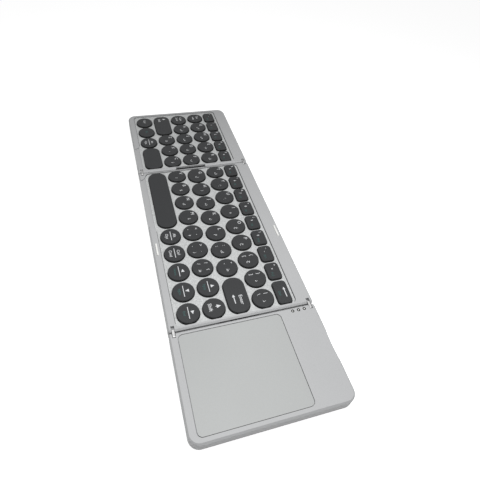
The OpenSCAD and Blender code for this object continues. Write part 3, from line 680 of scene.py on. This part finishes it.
def indicator_shade_rings():
    """Near-black ring with a lip around each pipe of the light guide, in its hole: painted shade of the gap
    between pipe and hole.
    """
    low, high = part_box("indicator_lenses")
    bar_lap = 1.5 * MM
    x = high[0] - bar_lap
    for k in range(3):
        y = low[1] + bar_lap + (high[1] - low[1] - 2 * bar_lap) * k / 2
        profile = [(circle((x, y), radius * MM), z * MM) for radius, z in (
            (1.06, 8.0), (1.06, 9.58), (0.40, 9.58), (0.40, 9.51), (0.64, 9.51), (0.64, 8.0))]
        ring_piece(f"indicator_shade_ring_{k + 1}", profile, "touchpad_panel")


def rounded_rectangle(x0, x1, y0, y1, radius, steps=6):
    """Outline that starts at the middle of the front side and goes round to the right."""
    points = [((x0 + x1) / 2, y0)]
    for cx, cy, first in ((x1 - radius, y0 + radius, -90), (x1 - radius, y1 - radius, 0),
                          (x0 + radius, y1 - radius, 90), (x0 + radius, y0 + radius, 180)):
        for i in range(steps + 1):
            angle = math.radians(first + 90 * i / steps)
            points.append((cx + radius * math.cos(angle), cy + radius * math.sin(angle)))
    return points


def pan_shade_strip(name, plate, gap_x0, gap_x1, body):
    """Near-black strip on the key plate along the pan's wall, painted shade at the foot of the wall, open
    at the thumb relief.
    """
    low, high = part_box(plate)
    lap = 0.6 * MM
    wide = 0.30 * MM
    pan_r = 3.4 * MM
    x0, x1 = low[0] + lap, high[0] - lap
    y0, y1 = low[1] + lap, high[1] - lap
    outer = rounded_rectangle(x0, x1, y0, y1, pan_r)
    inner = rounded_rectangle(x0 + wide, x1 - wide, y0 + wide, y1 - wide, pan_r - wide)
    outer = [(gap_x1, y0)] + outer[1:] + [(gap_x0, y0)]
    inner = [(gap_x1, y0 + wide)] + inner[1:] + [(gap_x0, y0 + wide)]
    z0, z1 = high[2] - 0.01 * MM, high[2] + 0.04 * MM
    ring_piece(name, [(outer, z0), (outer, z1), (inner, z1), (inner, z0)], body, closed=False)


# Floor, light and camera

def light_path_mix(tree, seen, plain, output):
    """Uses one shader for camera, glossy and transmission rays, and another for the rest."""
    path = tree.nodes.new("ShaderNodeLightPath")
    add_1 = tree.nodes.new("ShaderNodeMath")
    add_2 = tree.nodes.new("ShaderNodeMath")
    mix = tree.nodes.new("ShaderNodeMixShader")
    for node in (add_1, add_2):
        node.operation = "ADD"
        node.use_clamp = True
    tree.links.new(path.outputs["Is Camera Ray"], add_1.inputs[0])
    tree.links.new(path.outputs["Is Glossy Ray"], add_1.inputs[1])
    tree.links.new(add_1.outputs[0], add_2.inputs[0])
    tree.links.new(path.outputs["Is Transmission Ray"], add_2.inputs[1])
    tree.links.new(add_2.outputs[0], mix.inputs["Fac"])
    tree.links.new(plain, mix.inputs[1])
    tree.links.new(seen, mix.inputs[2])
    tree.links.new(mix.outputs["Shader"], output)


def make_world(strength):
    world = bpy.data.worlds.new("studio")
    bpy.context.scene.world = world
    world.use_nodes = True
    tree = world.node_tree
    tree.nodes.clear()
    out = tree.nodes.new("ShaderNodeOutputWorld")
    white = tree.nodes.new("ShaderNodeBackground")
    white.inputs["Color"].default_value = (1, 1, 1, 1)
    white.inputs["Strength"].default_value = 1.0
    dim = tree.nodes.new("ShaderNodeBackground")
    dim.inputs["Color"].default_value = (1, 1, 1, 1)
    dim.inputs["Strength"].default_value = strength
    light_path_mix(tree, white.outputs[0], dim.outputs[0], out.inputs["Surface"])


def make_floor():
    work = bmesh.new()
    half = FLOOR_HALF
    corners = ((-half, -half), (half, -half), (half, half), (-half, half))
    work.faces.new([work.verts.new((x, y, 0.0)) for x, y in corners])
    data = bpy.data.meshes.new("floor")
    work.to_mesh(data)
    work.free()
    floor = bpy.data.objects.new("floor", data)
    bpy.context.scene.collection.objects.link(floor)
    mat = bpy.data.materials.new("floor")
    mat.use_nodes = True
    tree = mat.node_tree
    tree.nodes.clear()
    out = tree.nodes.new("ShaderNodeOutputMaterial")
    diffuse = tree.nodes.new("ShaderNodeBsdfDiffuse")
    diffuse.inputs["Color"].default_value = (FLOOR_GREY, FLOOR_GREY, FLOOR_GREY, 1)
    glow = tree.nodes.new("ShaderNodeEmission")
    glow.inputs["Strength"].default_value = FLOOR_GLOW
    both = tree.nodes.new("ShaderNodeAddShader")
    tree.links.new(diffuse.outputs[0], both.inputs[0])
    tree.links.new(glow.outputs[0], both.inputs[1])
    light_path_mix(tree, both.outputs[0], diffuse.outputs[0], out.inputs["Surface"])
    floor.data.materials.append(mat)


def area_light(name, at, target, size, power):
    data = bpy.data.lights.new(name, "AREA")
    data.shape = "SQUARE"
    data.size = size
    data.energy = power
    obj = bpy.data.objects.new(name, data)
    obj.location = at
    obj.rotation_euler = (Vector(target) - Vector(at)).to_track_quat("-Z", "Y").to_euler()
    obj.visible_camera = False
    bpy.context.scene.collection.objects.link(obj)


def make_camera():
    data = bpy.data.cameras.new("camera")
    data.sensor_fit = "HORIZONTAL"
    data.sensor_width = SENSOR_MM
    data.lens = FOCAL_PX / PHOTO_PX * SENSOR_MM
    data.clip_start = 0.01
    data.clip_end = 20.0
    obj = bpy.data.objects.new("camera", data)
    rotation = Matrix((CAMERA_RIGHT, -CAMERA_DOWN, -CAMERA_FORWARD)).transposed()
    obj.matrix_world = Matrix.Translation(CAMERA_AT) @ rotation.to_4x4()
    bpy.context.scene.collection.objects.link(obj)
    bpy.context.scene.camera = obj


dress_nodes()
SPACE_BARS = ["left_space_bar", "middle_space_bar"]
KEY_NODES = [name for name in NODES if "_key" in name and "plate" not in name] + SPACE_BARS
for nodes, edge_mm in (
        (KEY_NODES, 0.12),
        (["left_frame", "middle_frame", "touchpad_frame"], 0.15),
        (["left_bottom_cover", "middle_bottom_cover", "touchpad_bottom_cover"], 0.15),
        (["left_key_plate", "middle_key_plate", "touchpad_surface"], 0.08),
        (["left_hinge_links", "right_hinge_links", "middle_bumpers"], 0.15)):
    soften_edges(nodes, edge_mm * MM)
print_marks("marks_", main_marks(), LEGEND)
print_marks("functions_", function_marks(), FUNCTION_LEGEND)
left_ribbon()
right_ribbon()
# painted shade: dark rings in the gaps around the indicator lamps
indicator_shade_rings()
# painted shade: dark strips at the foot of the pans' walls
for side, body, relief_x0, relief_x1 in (("left", "left_panel", -102.0, -69.8),
                                         ("middle", "middle_panel", -58.1, 4.1)):
    pan_shade_strip(side + "_pan_shade_strip", side + "_key_plate", relief_x0 * MM, relief_x1 * MM, body)

make_world(WORLD_LIGHT)
make_floor()
area_light("key_light", LAMP_AT, LAMP_TARGET, LAMP_SIZE, LAMP_WATTS)
make_camera()
bpy.context.scene.view_settings.view_transform = "Standard"
